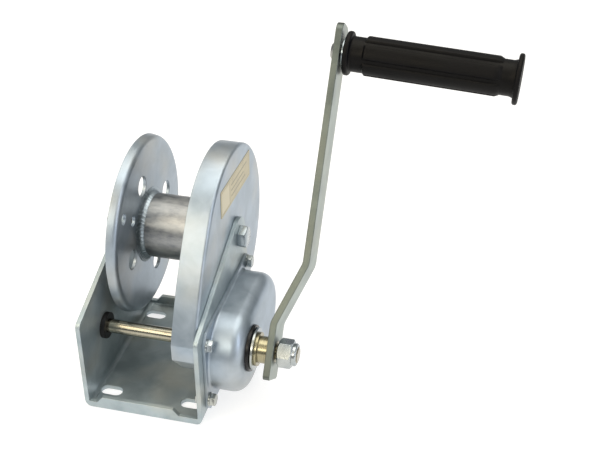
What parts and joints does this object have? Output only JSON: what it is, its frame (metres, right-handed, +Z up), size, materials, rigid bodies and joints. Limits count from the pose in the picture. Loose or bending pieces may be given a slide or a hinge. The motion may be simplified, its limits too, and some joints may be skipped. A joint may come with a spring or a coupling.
{
  "type": "boat trailer winch",
  "caption": "Hand winch with a bent steel bracket, rope drum, covered gear pair, screw load brake, cranked handle and round grip.",
  "frame": {"origin": "centre of the base on its underside, the middle of its four slotted bolt holes", "axes": "+X along the drum axis towards the crank, +Y to the rear, +Z up from the mounting face"},
  "size_m": [0.3451, 0.2198, 0.2864],
  "materials": {
    "zinc_sheet": "bright zinc plate on bent sheet steel, satin",
    "zinc_pressed": "bright zinc plate on pressed sheet steel, satin",
    "zinc_fastener": "bright zinc plate",
    "zinc_bar": "zinc plate on hot-rolled flat bar, satin",
    "drum_steel": "dull zinc on drawn tube",
    "weld_metal": "weld bead under plate",
    "gear_steel": "machined steel, oiled",
    "turned_steel": "turned steel",
    "ground_shaft": "ground bright shaft",
    "yellow_zinc": "yellow passivated zinc plate on turned steel",
    "spring_steel": "spring steel",
    "bronze": "sintered bronze",
    "friction_lining": "pressed friction material",
    "black_nylon": "moulded nylon",
    "black_rubber": "moulded rubber",
    "grip_rubber": "moulded rubber, satin",
    "label_film": "blank printed film"
  },
  "bodies": {
    "frame": {"frame_bracket": "zinc_sheet", "gear_cover": "zinc_pressed", "data_label": "label_film", "brake_cover": "zinc_pressed", "cover_bolts": "zinc_fastener", "cover_washers": "zinc_fastener", "cover_nuts": "zinc_fastener", "cover_seal": "black_rubber", "drum_axle": "zinc_fastener", "axle_sleeve": "turned_steel", "axle_washer": "zinc_fastener", "axle_nut": "zinc_fastener", "bush_left": "black_nylon", "bush_right": "black_nylon", "pawl_pin": "turned_steel", "pawl_sleeve": "turned_steel", "pawl_spring": "spring_steel"},
    "drum": {"drum_tube": "drum_steel", "drum_flange": "zinc_pressed", "flange_weld": "weld_metal", "gear_weld": "weld_metal", "drum_gear": "gear_steel", "drum_bush_left": "black_nylon", "drum_bush_right": "black_nylon"},
    "shaft": {"pinion_shaft": "ground_shaft", "pinion": "gear_steel", "thrust_washer": "turned_steel", "shaft_clip": "spring_steel", "inner_disc": "turned_steel", "inner_lining": "friction_lining", "ratchet_bush": "bronze", "lock_nut": "zinc_fastener"},
    "ratchet": {"ratchet_wheel": "gear_steel"},
    "pressure_disc": {"outer_lining": "friction_lining", "outer_disc": "turned_steel"},
    "crank": {"brake_hub": "yellow_zinc", "hub_ring": "zinc_fastener", "crank_arm": "zinc_bar", "handle_pin": "turned_steel", "handle_washer": "zinc_fastener"},
    "grip": {"grip_tube": "turned_steel", "grip": "grip_rubber"},
    "pawl": {"pawl": "gear_steel"}
  },
  "joints": [
    {"name": "drum_spin", "type": "hinge", "parent": "frame", "child": "drum", "pos_m": [0, 0.0464, 0.1132], "axis": [1, 0, 0], "continuous": true},
    {"name": "pinion_spin", "type": "hinge", "parent": "frame", "child": "shaft", "pos_m": [0, -0.02965, 0.05421], "axis": [1, 0, 0], "continuous": true},
    {"name": "ratchet_play", "type": "hinge", "parent": "frame", "child": "ratchet", "pos_m": [0, -0.02965, 0.05421], "axis": [1, 0, 0], "range_deg": [-2, 0]},
    {"name": "pawl_lift", "type": "hinge", "parent": "frame", "child": "pawl", "pos_m": [0, 0.01424, 0.06101], "axis": [1, 0, 0], "range_deg": [0, 12], "stiffness_Nm_per_rad": 0.03, "springref_deg": -34.38, "deforming": ["pawl_spring"]},
    {"name": "brake_disc_travel", "type": "slide", "parent": "shaft", "child": "pressure_disc", "axis": [1, 0, 0], "range_m": [0, 0.00016666]},
    {"name": "brake_release", "type": "hinge", "parent": "pressure_disc", "child": "crank", "pos_m": [0, -0.02965, 0.05421], "axis": [1, 0, 0], "range_deg": [0, 30]},
    {"name": "grip_spin", "type": "hinge", "parent": "crank", "child": "grip", "pos_m": [0.1255, 0.12141, 0.26212], "axis": [0.9986, -0.0308, -0.0423], "continuous": true}
  ],
  "couplings": [
    {"joint": "pinion_spin", "follows": "drum_spin", "ratio": -3.8125},
    {"joint": "brake_release", "follows": "brake_disc_travel", "rad_per_m": 3141.5}
  ]
}
